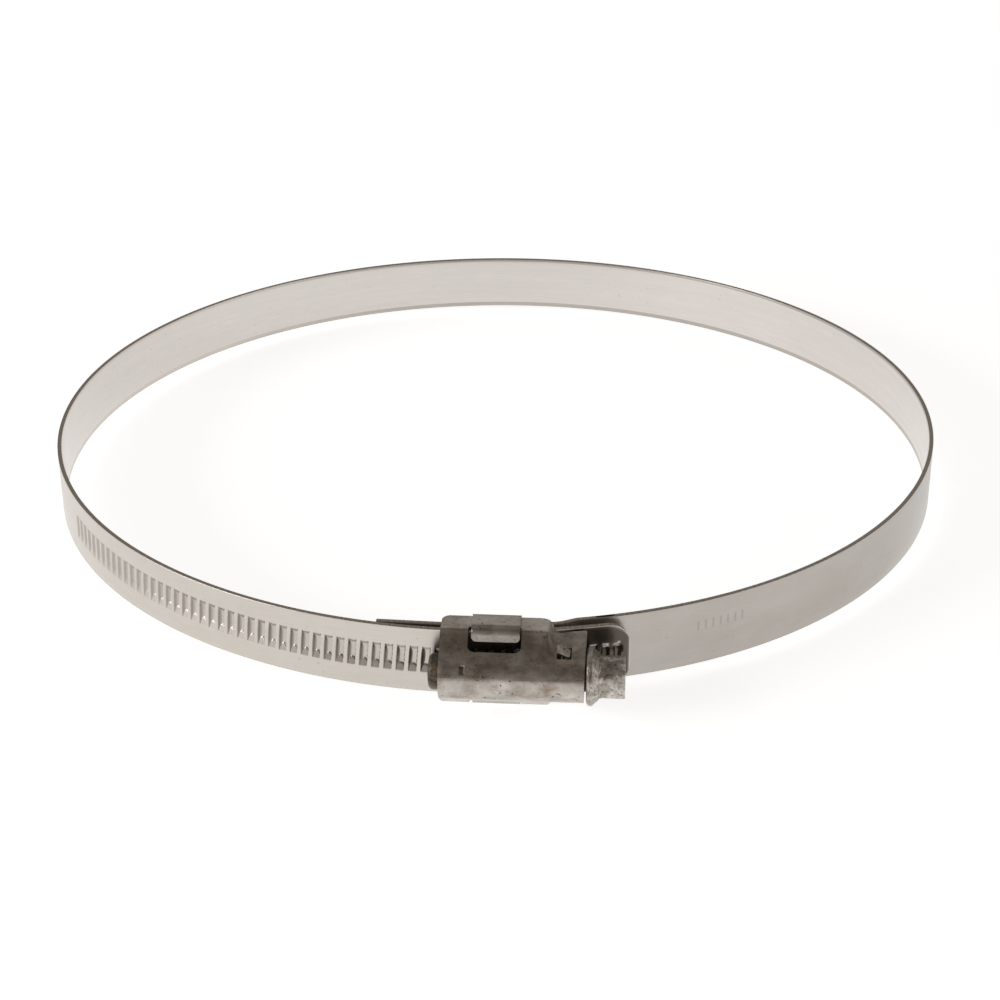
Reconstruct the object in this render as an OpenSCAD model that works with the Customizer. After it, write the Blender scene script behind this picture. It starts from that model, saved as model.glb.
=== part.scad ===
/* [Band] */
// Radius of the round seat inside the band and the saddle
seat_r = 85; // [84:0.5:86]
// Width of the steel strip
band_w = 12; // [11.8:0.1:12]
// Thickness of the strip
strip_t = 0.8; // [0.7:0.05:0.8]
// Inner radius of the threaded end, which runs over the fixed end
thread_r = 87.55; // [87.5:0.05:87.6]
// Distance from one thread groove to the next, along the middle of the strip
tooth_pitch = 2.1; // [2.1:0.1:2.1]
// Angle of the threaded end's tip, past the middle of the mesh
tail_angle = 17.9; // [17:0.1:18.5]

/* [Grooves] */
// Depth of one thread groove
groove_depth = 0.6; // [0.5:0.05:0.65]
// Width of one thread groove along the strip
groove_w = 1.3; // [1.2:0.05:1.35]
// Length of one thread groove across the strip
groove_l = 5; // [4.8:0.1:5.4]
// Number of thread grooves on the free side of the mesh
grooves_in = 43; // [40:1:44]
// Number of thread grooves on the tip side of the mesh
grooves_out = 12; // [11:1:12]

/* [Screw] */
// Largest radius of the screw thread
worm_r = 3.5; // [3.4:0.05:3.5]
// Radius of the screw under the thread
worm_core_r = 2.7; // [2.5:0.1:2.8]
// Radius of the flange under the head
flange_r = 4.85; // [4.5:0.05:4.9]
// Width of the hexagon head across its flats
hex_af = 6.8; // [6.3:0.1:7]
// Width of the screwdriver slot
slot_w = 1.1; // [0.9:0.1:1.4]
// Depth of the screwdriver slot
slot_d = 1.8; // [1:0.1:2.4]

/* [Housing] */
// Thickness of the housing sheet
sheet_t = 0.8; // [0.7:0.05:0.8]
// Outside width of the housing, over its two side walls
housing_w = 14; // [14:0.1:14.4]
// Gap between the screw thread and the housing
bore_gap = 0.08; // [0.05:0.01:0.1]

/* [Hidden] */
$fn = 96;
eps = 0.01;
// depth to which the screw thread enters the grooves
mesh_depth = 0.45;
tooth_step = tooth_pitch / (thread_r + strip_t / 2) * 180 / PI;
lead_angle = atan(tooth_pitch / (2 * PI * (worm_r - mesh_depth / 2)));
// the screw's axis lies at y = -axis_u, along X
axis_u = thread_r + strip_t - mesh_depth + worm_r;
bore_r = worm_r + bore_gap;
roof_r = bore_r + sheet_t;
// housing, along X: wide part, then the neck towards the head
body_x0 = -3.65;
body_x1 = 14.9;
neck_x1 = 20.1;
wall_top_u = 89.6;
wall_low_r = seat_r + 0.6;
// windows for the saddle's tabs
window_x0 = 0.9;
window_x1 = 9.6;
window_u0 = 88.6;
window_u1 = 92.7;
tab_gap = 0.7;
// openings in the neck for the screw's retaining lugs
lug_x0 = 15.4;
lug_x1 = 17.8;
lug_u0 = 89.9;
lug_u1 = 93.1;
// sheet of the tabs, drawn thin by the fold
tab_t = 0.65;
// fixed end of the strip
fixed_r = seat_r + strip_t + 0.02;
fixed_tip_x = -14.6;
fixed_straight_x = -3;
fixed_end_angle = 13;
// chain of rigid arcs that stands for the flexing strip
side_links = 7;
back_links = 13;
chain_start = 14.5;
arc_turn = 114;
// the threaded end's rigid arc starts in a land between two grooves
rigid_start = -38.5 * tooth_step;
hinge_gap = 0.02;
lap_start = 10.9;
lap_end = 13.9;
lap_t = 0.65;

function polar(r, a) = [r * cos(a), r * sin(a)];
function unit(v) = v / norm(v);

// Points of a rounded corner at b, between the straight lines a-b and b-c.
function corner(a, b, c, r, n = 5) =
    let (
        d1 = unit(a - b),
        d2 = unit(c - b),
        half = acos(d1 * d2) / 2,
        centre = b + unit(d1 + d2) * r / sin(half),
        p1 = b + d1 * r / tan(half) - centre,
        p2 = b + d2 * r / tan(half) - centre
    )
    [for (i = [0:n]) centre + r * unit(p1 * (n - i) / n + p2 * i / n)];

function mirrored(points) =
    concat(points, [for (i = [len(points) - 1:-1:0]) [points[i][0], -points[i][1]]]);

// Part of a ring; its angles count from -Y towards +X.
module ring_arc(r, t, a0, a1, w = band_w) {
    rotate([0, 0, a0 - 90])
        rotate_extrude(angle = a1 - a0, $fn = 480)
            translate([r, -w / 2])
                square([t, w]);
}

module seat_cylinder(r, h = 40) {
    cylinder(r = r, h = h, center = true, $fn = 240);
}

// Draws a profile in the YZ plane and pulls it along X.
module along_x(x0, x1) {
    translate([x0, 0, 0])
        rotate([90, 0, 90])
            linear_extrude(height = x1 - x0)
                children();
}

// ---- housing ----

module roof_profile(r, half_w, corner_u, low_u, corner_r) {
    reach = [axis_u - corner_u, half_w];
    touch = 180 - atan2(reach[1], reach[0]) - acos(r / norm(reach));
    tangent = [-axis_u, 0] + [-r * cos(touch), r * sin(touch)];
    side = corner([-low_u, half_w], [-corner_u, half_w], tangent, corner_r);
    translate([-axis_u, 0])
        circle(r = r);
    polygon(mirrored(concat([[-low_u, half_w]], side, [tangent])));
}

module body_shell() {
    difference() {
        along_x(body_x0, body_x1)
            difference() {
                roof_profile(roof_r, housing_w / 2, wall_top_u, seat_r - 3, 2);
                roof_profile(bore_r, housing_w / 2 - sheet_t, wall_top_u - 0.25, seat_r - 5, 1.2);
            }
        seat_cylinder(wall_low_r);
        wall_corner(body_x0, 1.5, 1);
        wall_corner(body_x1, 2.6, -1);
    }
}

// Rounds the low corner of both side walls at one end.
module wall_corner(x, r, side) {
    low_u = sqrt(pow(wall_low_r, 2) - pow(x, 2));
    translate([x + side * r / 2, -low_u - r / 2, 0])
        difference() {
            cube([r + 2 * eps, r + 2 * eps, housing_w + 2], center = true);
            translate([side * r / 2, -r / 2, 0])
                cylinder(r = r, h = housing_w + 4, center = true);
        }
}

module neck_shell() {
    leg = 5.2;
    low_u = 84;
    difference() {
        along_x(body_x1 - eps, neck_x1)
            difference() {
                roof_profile(roof_r, leg + sheet_t / 2, 87, low_u, 0.6);
                roof_profile(bore_r, leg - sheet_t / 2, 86.8, low_u - 1, 0.4);
            }
        seat_cylinder(thread_r + strip_t + 0.12);
    }
}

module tab_window(side) {
    translate([(window_x0 + window_x1) / 2, -(window_u0 + window_u1) / 2, side * 6.5])
        cube([window_x1 - window_x0, window_u1 - window_u0, 6], center = true);
}

// Notch through which a tab of the saddle comes out under the side wall.
module tab_notch(side) {
    low_u = seat_r - 3;
    high_u = seat_r + strip_t + 0.05;
    translate([(window_x0 + window_x1) / 2, -(low_u + high_u) / 2, side * 7])
        cube([window_x1 - window_x0 - 0.6, high_u - low_u, 3], center = true);
}

// Opening in the neck, left where the screw's retaining lug is pushed in.
module lug_window(side) {
    translate([(lug_x0 + lug_x1) / 2, -(lug_u0 + lug_u1) / 2, side * 4.55])
        cube([lug_x1 - lug_x0, lug_u1 - lug_u0, 4.3], center = true);
}

module retaining_lug(side) {
    translate([lug_x0 + 0.3, -lug_u0 - 1, side * 3.6])
        rotate([0, side * 18, 0])
            cube([1.7, 1.6, 0.6], center = true);
}

module pressed_mark() {
    translate([0.3, -axis_u, 0])
        rotate([-36, 0, 0])
            translate([0, -roof_r, 0])
                cube([0.7, 0.5, 1.5], center = true);
}

module housing() {
    color("#8f8a84")
        difference() {
            union() {
                body_shell();
                neck_shell();
            }
            for (side = [-1, 1]) {
                tab_window(side);
                tab_notch(side);
                lug_window(side);
            }
            pressed_mark();
        }
    color("#8f8a84")
        for (side = [-1, 1])
            retaining_lug(side);
}

// ---- saddle ----

module saddle_tab(side) {
    inner_z = housing_w / 2 + 0.02;
    outer_z = inner_z + tab_t;
    root_z = band_w / 2 + 0.05;
    path_out = concat(
        [[-seat_r - eps, root_z]],
        corner([-seat_r, root_z], [-seat_r - eps, outer_z], [-88, outer_z], 1.1),
        corner([-86, outer_z], [-89.05, outer_z], [-91.5, 5.9], 2),
        [[-91.5, 5.9]]
    );
    path_in = concat(
        [[-91.1, 5.4]],
        corner([-91.1, 5.4], [-88.9, inner_z], [-86, inner_z], 1.2),
        corner([-88, inner_z], [-seat_r - strip_t, inner_z], [-seat_r - strip_t, root_z], 0.3),
        [[-seat_r - strip_t, root_z]]
    );
    mirror([0, 0, side < 0 ? 1 : 0])
        along_x(window_x0 + tab_gap, window_x1 - tab_gap / 3)
            polygon(concat(path_out, path_in));
}

module saddle() {
    a0 = asin((body_x0 + 0.3) / seat_r);
    a1 = asin((body_x1 - 1) / seat_r);
    color("#9a958e") {
        ring_arc(seat_r, strip_t, a0, a1, housing_w - 2 * sheet_t - 0.1);
        for (side = [-1, 1])
            saddle_tab(side);
    }
}

// ---- screw ----

// Section of the thread: crest, two flanks and core, by turn angle.
function thread_r_at(a) =
    let (t = abs(a) * tooth_pitch / 360)
    t < 0.3 ? worm_r : t < 0.52 ? worm_r - (t - 0.3) / 0.22 * (worm_r - worm_core_r) : worm_core_r;

module worm_thread(x0, x1) {
    marks = [-180, -150, -120, -90, -70, -51, -34, -17, 0, 17, 34, 51, 70, 90, 120, 150];
    turns = (x1 - x0) / tooth_pitch;
    translate([x0, 0, 0])
        rotate([0, 90, 0])
            rotate([0, 0, 90 + 360 * x0 / tooth_pitch])
                linear_extrude(
                    height = x1 - x0, twist = -360 * turns, slices = round(turns * 18), $fn = 16
                )
                    polygon([for (a = marks) polar(thread_r_at(a), a)]);
}

module turned(x0, x1, r0, r1) {
    translate([x0, 0, 0])
        rotate([0, 90, 0])
            cylinder(r1 = r0, r2 = r1, h = x1 - x0);
}

module hex_head(x0, x1) {
    chamfer_r = hex_af / sqrt(3) - 0.15;
    intersection() {
        translate([x0, 0, 0])
            rotate([0, 90, 0])
                rotate([0, 0, 63])
                    cylinder(r = hex_af / sqrt(3), h = x1 - x0, $fn = 6);
        union() {
            turned(x0, x1 - 0.5, hex_af, hex_af);
            turned(x1 - 0.5, x1, chamfer_r + 0.25, chamfer_r - 0.35);
        }
    }
}

module screw() {
    head_x0 = neck_x1 + 0.25;
    head_x1 = 26.5;
    shaft_r = worm_core_r - 0.15;
    nose_x = body_x0 - 1.85;
    color("#a39d94")
        translate([0, -axis_u, 0])
            difference() {
                union() {
                    worm_thread(-3.2, 14.2);
                    turned(nose_x, nose_x + 0.5, shaft_r - 0.5, shaft_r);
                    turned(nose_x + 0.5, -2.7, shaft_r, shaft_r);
                    turned(13.7, head_x0 + 0.1, shaft_r, shaft_r);
                    turned(head_x0, head_x0 + 0.3, flange_r - 0.3, flange_r);
                    turned(head_x0 + 0.3, head_x0 + 1.1, flange_r, flange_r);
                    turned(head_x0 + 1.1, head_x0 + 2, flange_r, 3.8);
                    hex_head(head_x0 + 1.9, head_x1);
                }
                translate([head_x1, 0, 0])
                    rotate([-59, 0, 0])
                        cube([2 * slot_d, 12, slot_w], center = true);
            }
}

// ---- band ----

module groove(k) {
    floor_u = thread_r + strip_t - groove_depth;
    top_u = thread_r + strip_t + 0.3;
    rotate([0, 0, k * tooth_step])
        translate([0, -(floor_u + top_u) / 2, 0])
            rotate([0, lead_angle, 0])
                rotate([90, 0, 90])
                    linear_extrude(height = groove_w, center = true)
                        polygon([
                            [(top_u - floor_u) / 2, groove_l / 2 - 0.6],
                            [-(top_u - floor_u) / 2, groove_l / 2 + 0.3],
                            [-(top_u - floor_u) / 2, -groove_l / 2 - 0.3],
                            [(top_u - floor_u) / 2, -groove_l / 2 + 0.6]
                        ]);
}

// Rounded tip of the threaded end, cut from a straight end.
module tip_cutter() {
    tip_r = 5.2;
    back = 5.1;
    up = 1.2;
    rotate([0, 0, tail_angle])
        translate([0, -thread_r - strip_t / 2, 0])
            for (side = [-1, 1])
                difference() {
                    translate([-back / 2 + 1, 0, side * (up + 4)])
                        cube([back + 2, 4, 8], center = true);
                    translate([-back, 0, side * up])
                        rotate([90, 0, 0])
                            cylinder(r = tip_r, h = 6, center = true);
                }
}

module band_threaded_end() {
    color("#c2beb8")
        difference() {
            ring_arc(thread_r, strip_t, rigid_start, tail_angle);
            for (k = [-38:grooves_out])
                groove(k);
            tip_cutter();
        }
}

module band_fixed_end() {
    a0 = asin(fixed_straight_x / (fixed_r + strip_t / 2));
    straight_l = (fixed_straight_x - fixed_tip_x) / cos(a0);
    trim = 0.02;
    color("#c2beb8")
        union() {
            ring_arc(fixed_r, strip_t, a0, fixed_end_angle);
            rotate([0, 0, a0])
                translate([-straight_l, -fixed_r - strip_t + trim, -band_w / 2 + trim])
                    cube([straight_l + 0.5, strip_t - 2 * trim, band_w - 2 * trim]);
        }
}

function turn_centre() =
    let (d = (thread_r - seat_r) / 2, a = arc_turn + 180 - 90)
    [d * cos(a), d * sin(a), 0];

// Link 1 is the nearest to the fixed end; the last one joins the threaded end.
module band_link(i) {
    side_step = (arc_turn - chain_start) / side_links;
    back_step = 180 / back_links;
    g = hinge_gap / seat_r * 180 / PI;
    color(i % 2 == 0 ? "#c2beb8" : "#cbc7c1")
        if (i == 1) {
            ring_arc(seat_r, strip_t, lap_end, chain_start + side_step - g);
            ring_arc(seat_r, lap_t, lap_start, lap_end + eps);
        } else if (i <= side_links) {
            start = chain_start + (i - 1) * side_step;
            ring_arc(seat_r, strip_t, start + g, start + side_step - g);
        } else if (i <= side_links + back_links) {
            start = arc_turn + (i - side_links - 1) * back_step;
            translate(turn_centre())
                ring_arc((seat_r + thread_r) / 2, strip_t, start + g, start + back_step - g);
        } else {
            last_link(g);
        }
}

module last_link(g) {
    difference() {
        ring_arc(thread_r, strip_t, arc_turn - 180 + g, rigid_start - 2 * g);
        for (k = [-grooves_in:-39])
            groove(k);
    }
}

housing();
saddle();
screw();
band_fixed_end();
band_threaded_end();
band_link(1);  // band_link_01
band_link(2);  // band_link_02
band_link(3);  // band_link_03
band_link(4);  // band_link_04
band_link(5);  // band_link_05
band_link(6);  // band_link_06
band_link(7);  // band_link_07
band_link(8);  // band_link_08
band_link(9);  // band_link_09
band_link(10);  // band_link_10
band_link(11);  // band_link_11
band_link(12);  // band_link_12
band_link(13);  // band_link_13
band_link(14);  // band_link_14
band_link(15);  // band_link_15
band_link(16);  // band_link_16
band_link(17);  // band_link_17
band_link(18);  // band_link_18
band_link(19);  // band_link_19
band_link(20);  // band_link_20
band_link(21);  // band_link_21
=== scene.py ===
"""Looks of a worm-drive hose clamp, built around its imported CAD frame."""

import math

import bmesh
import bpy
from mathutils import Matrix, Vector, noise
from mathutils.geometry import delaunay_2d_cdt


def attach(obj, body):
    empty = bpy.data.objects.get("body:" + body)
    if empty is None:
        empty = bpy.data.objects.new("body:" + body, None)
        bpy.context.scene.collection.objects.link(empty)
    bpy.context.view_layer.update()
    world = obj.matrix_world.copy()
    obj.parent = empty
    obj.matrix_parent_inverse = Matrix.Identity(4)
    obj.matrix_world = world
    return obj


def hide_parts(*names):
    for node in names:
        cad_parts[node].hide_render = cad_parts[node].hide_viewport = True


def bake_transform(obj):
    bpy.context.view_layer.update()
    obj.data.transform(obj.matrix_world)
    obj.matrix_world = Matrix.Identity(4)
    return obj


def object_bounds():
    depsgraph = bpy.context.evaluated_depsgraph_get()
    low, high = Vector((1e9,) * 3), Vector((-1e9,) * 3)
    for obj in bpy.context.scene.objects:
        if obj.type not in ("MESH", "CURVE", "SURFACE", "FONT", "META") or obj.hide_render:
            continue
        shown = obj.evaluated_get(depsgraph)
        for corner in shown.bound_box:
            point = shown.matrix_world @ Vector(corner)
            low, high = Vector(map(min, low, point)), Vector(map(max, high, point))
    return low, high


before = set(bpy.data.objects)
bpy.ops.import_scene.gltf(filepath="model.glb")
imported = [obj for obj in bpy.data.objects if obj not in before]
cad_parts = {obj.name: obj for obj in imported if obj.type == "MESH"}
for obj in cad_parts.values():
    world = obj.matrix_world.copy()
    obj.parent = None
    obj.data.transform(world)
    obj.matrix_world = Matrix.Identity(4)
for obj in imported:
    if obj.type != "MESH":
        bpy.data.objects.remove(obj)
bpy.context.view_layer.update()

# Sizes are in millimetres unless a name says otherwise; meshes are made in metres.
MM = 0.001
SEAT_R = 85.0
THREAD_R = 87.55
STRIP_T = 0.8
STRIP_W = 12.0
TOOTH_PITCH = 2.1
TOOTH_STEP = math.degrees(TOOTH_PITCH / (THREAD_R + STRIP_T / 2))
TAIL_ANGLE = 17.9
SIDE_LINKS = 7
BACK_LINKS = 13
LINKS = SIDE_LINKS + BACK_LINKS + 1
CHAIN_START = 14.5
ARC_TURN = 114.0
# The inner face's V coordinate is shifted by this much, so that a material can tell the faces apart.
INNER_V = 40.0
FIRST_GROOVE = -43
LAST_GROOVE = 12

AXIS_U = 91.4
WORM_R = 3.5
CORE_R = 2.7
SHEET_T = 0.8
TAB_T = 0.65
ROOF_R = 4.38
BODY_X0 = -3.65
BODY_X1 = 14.9
# The screw's rounded end sticks out of the housing by this much.
NOSE_OUT = 1.85
NOSE_R = 3.0
SHAFT_R = 2.55
NECK_X1 = 20.1
HALF_W = 7.0
# Openings in the neck for the retaining lugs.
LUG_X0, LUG_X1 = 15.4, 17.8
LUG_U0, LUG_U1 = 89.9, 93.1


# ---------------------------------------------------------------- meshes


def make_object(name, verts, faces, uvs=None, sharp_deg=38, darkening_amount=None):
    """A smooth-shaded object from points in millimetres, with an optional UV and darkening amount for each
    point; on the strip that amount is painted shade.
    """
    mesh = bpy.data.meshes.new(name)
    mesh.from_pydata([Vector(v) * MM for v in verts], [], faces)
    mesh.validate()
    if uvs:
        layer = mesh.uv_layers.new(name="UVMap")
        for loop in mesh.loops:
            layer.data[loop.index].uv = uvs[loop.vertex_index]
    if darkening_amount:
        mesh.attributes.new("darkening_amount", "FLOAT", "POINT").data.foreach_set("value", darkening_amount)
    mesh.shade_smooth()
    mesh.set_sharp_from_angle(angle=math.radians(sharp_deg))
    obj = bpy.data.objects.new(name, mesh)
    bpy.context.scene.collection.objects.link(obj)
    return obj


def bevel(obj, width, segments=2, angle=40, material=-1):
    """Rounds the sharp edges; material is the index given to the rounding, or -1 for the faces' own."""
    m = obj.modifiers.new("edges", "BEVEL")
    m.material = material
    m.width = width * MM
    m.segments = segments
    m.limit_method = "ANGLE"
    m.angle_limit = math.radians(angle)
    m.use_clamp_overlap = True


def smoothstep(x):
    x = min(max(x, 0.0), 1.0)
    return x * x * (3 - 2 * x)


def soft_min(a, b, k):
    h = min(max(0.5 + 0.5 * (b - a) / k, 0.0), 1.0)
    return b * (1 - h) + a * h - k * h * (1 - h)


# ---------------------------------------------------------------- strip


def outward(a):
    """Direction away from the ring's axis at an angle in radians, counted from -Y towards +X."""
    return Vector((math.sin(a), -math.cos(a), 0))


def ring_frame(angle):
    """Point on the strip's inner face and its outward direction, by the angle from -Y towards +X."""
    n = outward(math.radians(angle))
    if angle <= ARC_TURN:
        return n * SEAT_R, n
    if angle <= ARC_TURN + 180:
        centre = outward(math.radians(ARC_TURN + 180)) * (THREAD_R - SEAT_R) / 2
        return centre + n * (SEAT_R + THREAD_R) / 2, n
    return n * THREAD_R, n


def link_edge(k):
    """Angle at which link k ends, counted from the fixed end."""
    if k <= SIDE_LINKS:
        return CHAIN_START + k * (ARC_TURN - CHAIN_START) / SIDE_LINKS
    if k <= SIDE_LINKS + BACK_LINKS:
        return ARC_TURN + (k - SIDE_LINKS) * 180 / BACK_LINKS
    return 360 + (FIRST_GROOVE + 4.5) * TOOTH_STEP


def link_middle(k):
    if k == LINKS:
        return 360 + (FIRST_GROOVE - 0.5) * TOOTH_STEP
    return (link_edge(k - 1) + link_edge(k)) / 2


def edge_points(t, half, r=0.14, n=3):
    """Section of the strip's rounded edge at z = half, from the outer face to the inner one."""
    pts = []
    for centre_h, start in ((t - r, 90), (r, 0)):
        for i in range(n + 1):
            a = math.radians(start - 90 * i / n)
            pts.append((centre_h + r * math.sin(a), half - r + r * math.cos(a)))
    return pts


def sweep_strip(name, stations, columns=(-4.5, 0, 4.5), height=None, bulge=None, half_at=None, darkening=None):
    """A strip through stations (inner point, outward direction, length so far).
    columns are the z of the points on both faces; height and bulge shape the outer and the inner face."""
    verts, faces, uvs, darkening_amount = [], [], [], []
    edge = edge_points(STRIP_T, STRIP_W / 2)
    loop = [(STRIP_T, z, "out") for z in columns]
    loop += [(h, z, "edge") for h, z in edge]
    loop += [(0.0, z, "in") for z in reversed(columns)]
    loop += [(h, -z, "edge") for h, z in reversed(edge)]
    count = len(loop)
    for point, normal, s in stations:
        scale = (half_at(s) if half_at else STRIP_W / 2) / (STRIP_W / 2)
        for h, z, side in loop:
            z *= scale
            if side == "out" and height:
                h = height(s, z)
            if side == "in" and bulge:
                h = bulge(s, z)
            verts.append(point + normal * h + Vector((0, 0, z)))
            uvs.append((s * MM, (z + (INNER_V if side == "in" else 0)) * MM))
            darkening_amount.append(darkening(s, z) if darkening and side == "out" else 0.0)
    for i in range(len(stations) - 1):
        for j in range(count):
            a, b = i * count + j, i * count + (j + 1) % count
            faces.append((a, b, b + count, a + count))
    faces.append(tuple(range(count - 1, -1, -1)))
    faces.append(tuple(range((len(stations) - 1) * count, len(stations) * count)))
    return make_object(name, verts, faces, uvs, darkening_amount=darkening_amount)


def ring_stations(a0, a1, step):
    """Stations from angle a0 to a1 of the ring, with the length counted along the strip's middle."""
    n = max(2, round(abs(a1 - a0) / step))
    out = []
    for i in range(n + 1):
        a = a0 + (a1 - a0) * i / n
        point, normal = ring_frame(a)
        out.append((point, normal, strip_length(a)))
    return out


def strip_length(a):
    """Length along the strip from the middle of the mesh; grooves sit at whole numbers of pitches."""
    r = THREAD_R + STRIP_T / 2
    if a > ARC_TURN + 180:
        return math.radians(a - 360) * r
    start = math.radians(ARC_TURN - 180) * r
    mean = (SEAT_R + THREAD_R + STRIP_T) / 2
    if a > ARC_TURN:
        return start - math.radians(ARC_TURN + 180 - a) * mean
    return start - math.pi * mean - math.radians(ARC_TURN - a) * (SEAT_R + STRIP_T / 2)


GROOVE_HALF = 0.68
GROOVE_DEPTH = 0.56
GROOVE_LEAN = math.tan(math.radians(5.4))
GROOVE_Z = 2.52
LOW_RAMP = 1.45


def groove_place(s, z):
    """Distance from the middle of the nearest groove along the strip, or None beyond the last one."""
    k = round((s - z * GROOVE_LEAN) / TOOTH_PITCH)
    if abs(z) > GROOVE_Z + 0.1 or not FIRST_GROOVE <= k <= LAST_GROOVE:
        return None
    return s - z * GROOVE_LEAN - k * TOOTH_PITCH


def groove_flank(x, z):
    """How far a place is down the left flank: 0 at its upper edge, 1 at the floor."""
    bow = 1 - (z / GROOVE_Z) ** 2
    return (x + GROOVE_HALF + 0.14 * bow) / (0.12 + 0.5 * bow)


def groove_depth(s, z):
    """Depth of the pressed thread: lens-shaped left flank, flat floor, steep right wall, ramped ends."""
    x = groove_place(s, z)
    if x is None:
        return 0.0
    flank = groove_flank(x, z) * GROOVE_DEPTH
    floor = min(GROOVE_DEPTH, (GROOVE_HALF - x) * 4.0)
    ramp = (GROOVE_Z - abs(z)) * GROOVE_DEPTH / 0.9
    if z < 0:
        along = z + GROOVE_Z
        step = smoothstep((along - LOW_RAMP + 0.5 * (x / GROOVE_HALF) ** 2) / 0.12)
        ramp = 0.3 * along + step * GROOVE_DEPTH
    return max(0.0, soft_min(soft_min(flank, floor, 0.05), ramp, 0.05))


def groove_painted_shade(s, z):
    """Painted shade on the groove's left flank and, thinner, on the lower ramp, the right wall and the
    floor, together with the painted shade of the end that sticks out.
    """
    x = groove_place(s, z)
    darkening = tail_painted_shade(s, z)
    if x is None or groove_depth(s, z) < 0.03:
        return darkening
    down = groove_flank(x, z)
    # Strength of the painted shade, growing towards the threaded end near the housing.
    shade_strength = 0.3 + 0.5 * smoothstep((s + 85) / 70)
    if down < 1.05:
        deep = 0.55 + 0.45 * smoothstep((0.5 - abs(down - 0.3)) / 0.3)
        return max(darkening, shade_strength * deep * smoothstep(down / 0.2) * smoothstep((1.1 - down) / 0.15))
    if z < LOW_RAMP - GROOVE_Z:
        return max(darkening, shade_strength * 0.45)
    if x > GROOVE_HALF - 0.2:
        return max(darkening, shade_strength * 0.7)
    return 0.0 if z > GROOVE_Z - 0.95 else max(darkening, shade_strength * 0.15)


def tail_painted_shade(s, z):
    """Painted shade on the outer face of the end that sticks out under the head, where the head shades it;
    lighter at its rim.
    """
    end = strip_length(360 + TAIL_ANGLE)
    rim = min(end - s, tip_half_width(s) - abs(z))
    return 0.9 * smoothstep((s - end + 11) / 2.5) * smoothstep(rim / 0.4)


def groove_height(s, z):
    return STRIP_T - groove_depth(s, z)


def groove_bulge(s, z):
    """Swelling of the inner face behind a groove, as a height below that face."""
    x = groove_place(s, z)
    if x is None:
        return 0.0
    return -0.16 * max(0.0, 1 - (x / 0.85) ** 2) * smoothstep((GROOVE_Z + 0.1 - abs(z)) / 0.9)


TIP_R = 3.9


def tip_half_width(s):
    """Half width of the strip near the rounded tip of the threaded end."""
    end = math.radians(TAIL_ANGLE) * (THREAD_R + STRIP_T / 2)
    past = s - (end - TIP_R)
    if past <= 0:
        return STRIP_W / 2
    past = min(past, TIP_R)
    return STRIP_W / 2 - TIP_R + math.sqrt(max(TIP_R**2 - past**2, 0.0))


def tooth_columns():
    fine = [-2.6 + 5.2 * i / 34 for i in range(35)]
    return [-5.7, -5.2, -4.6, -3.2] + fine + [3.2, 4.6, 5.2, 5.7]


def toothed_strip(name, a0, a1, half_at=None):
    stations = ring_stations(360 + a0, 360 + a1, TOOTH_STEP / 24)
    if half_at:
        end = stations[-1]
        stations = stations[:-1]
        tip = [TAIL_ANGLE - 2.6 * (1 - math.sin(math.radians(90 * i / 12))) for i in range(13)]
        keep = [s for s in stations if s[2] < strip_length(360 + tip[0])]
        stations = keep + [(*ring_frame(360 + a), strip_length(360 + a)) for a in tip]
    return sweep_strip(
        name, stations, tooth_columns(), height=groove_height, bulge=groove_bulge, half_at=half_at,
        darkening=groove_painted_shade,
    )


TONGUE_L = 11.6
STEP_ANGLE = 10.0
FIXED_END_ANGLE = 16.6


def fixed_end_stations():
    """The tongue, the part under the housing, the step down to the seat and the start of the ring."""
    r0 = SEAT_R + STRIP_T + 0.02
    bend = math.asin(-3 / (r0 + STRIP_T / 2))
    n = outward(bend)
    along = Vector((math.cos(bend), math.sin(bend), 0))
    tongue = TONGUE_L / math.cos(bend)
    out = []
    for i in range(8):
        back = tongue * (1 - i / 8)
        out.append((n * r0 - along * back, n, -back))
    s = 0.0
    last = None
    for i in range(121):
        a = bend + (math.radians(FIXED_END_ANGLE) - bend) * i / 120
        r = r0 - (r0 - SEAT_R) * smoothstep((math.degrees(a) - STEP_ANGLE) / 2.8)
        normal = outward(a)
        point = normal * r
        s += (point - last).length if last else 0
        last = point
        out.append((point, normal, s))
    return out


def gap_painted_shade(s, z):
    """Painted shade on the fixed end where the threaded end slides over it, in the gap between them."""
    return 0.95 * smoothstep((10 - s) / 4)


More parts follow.
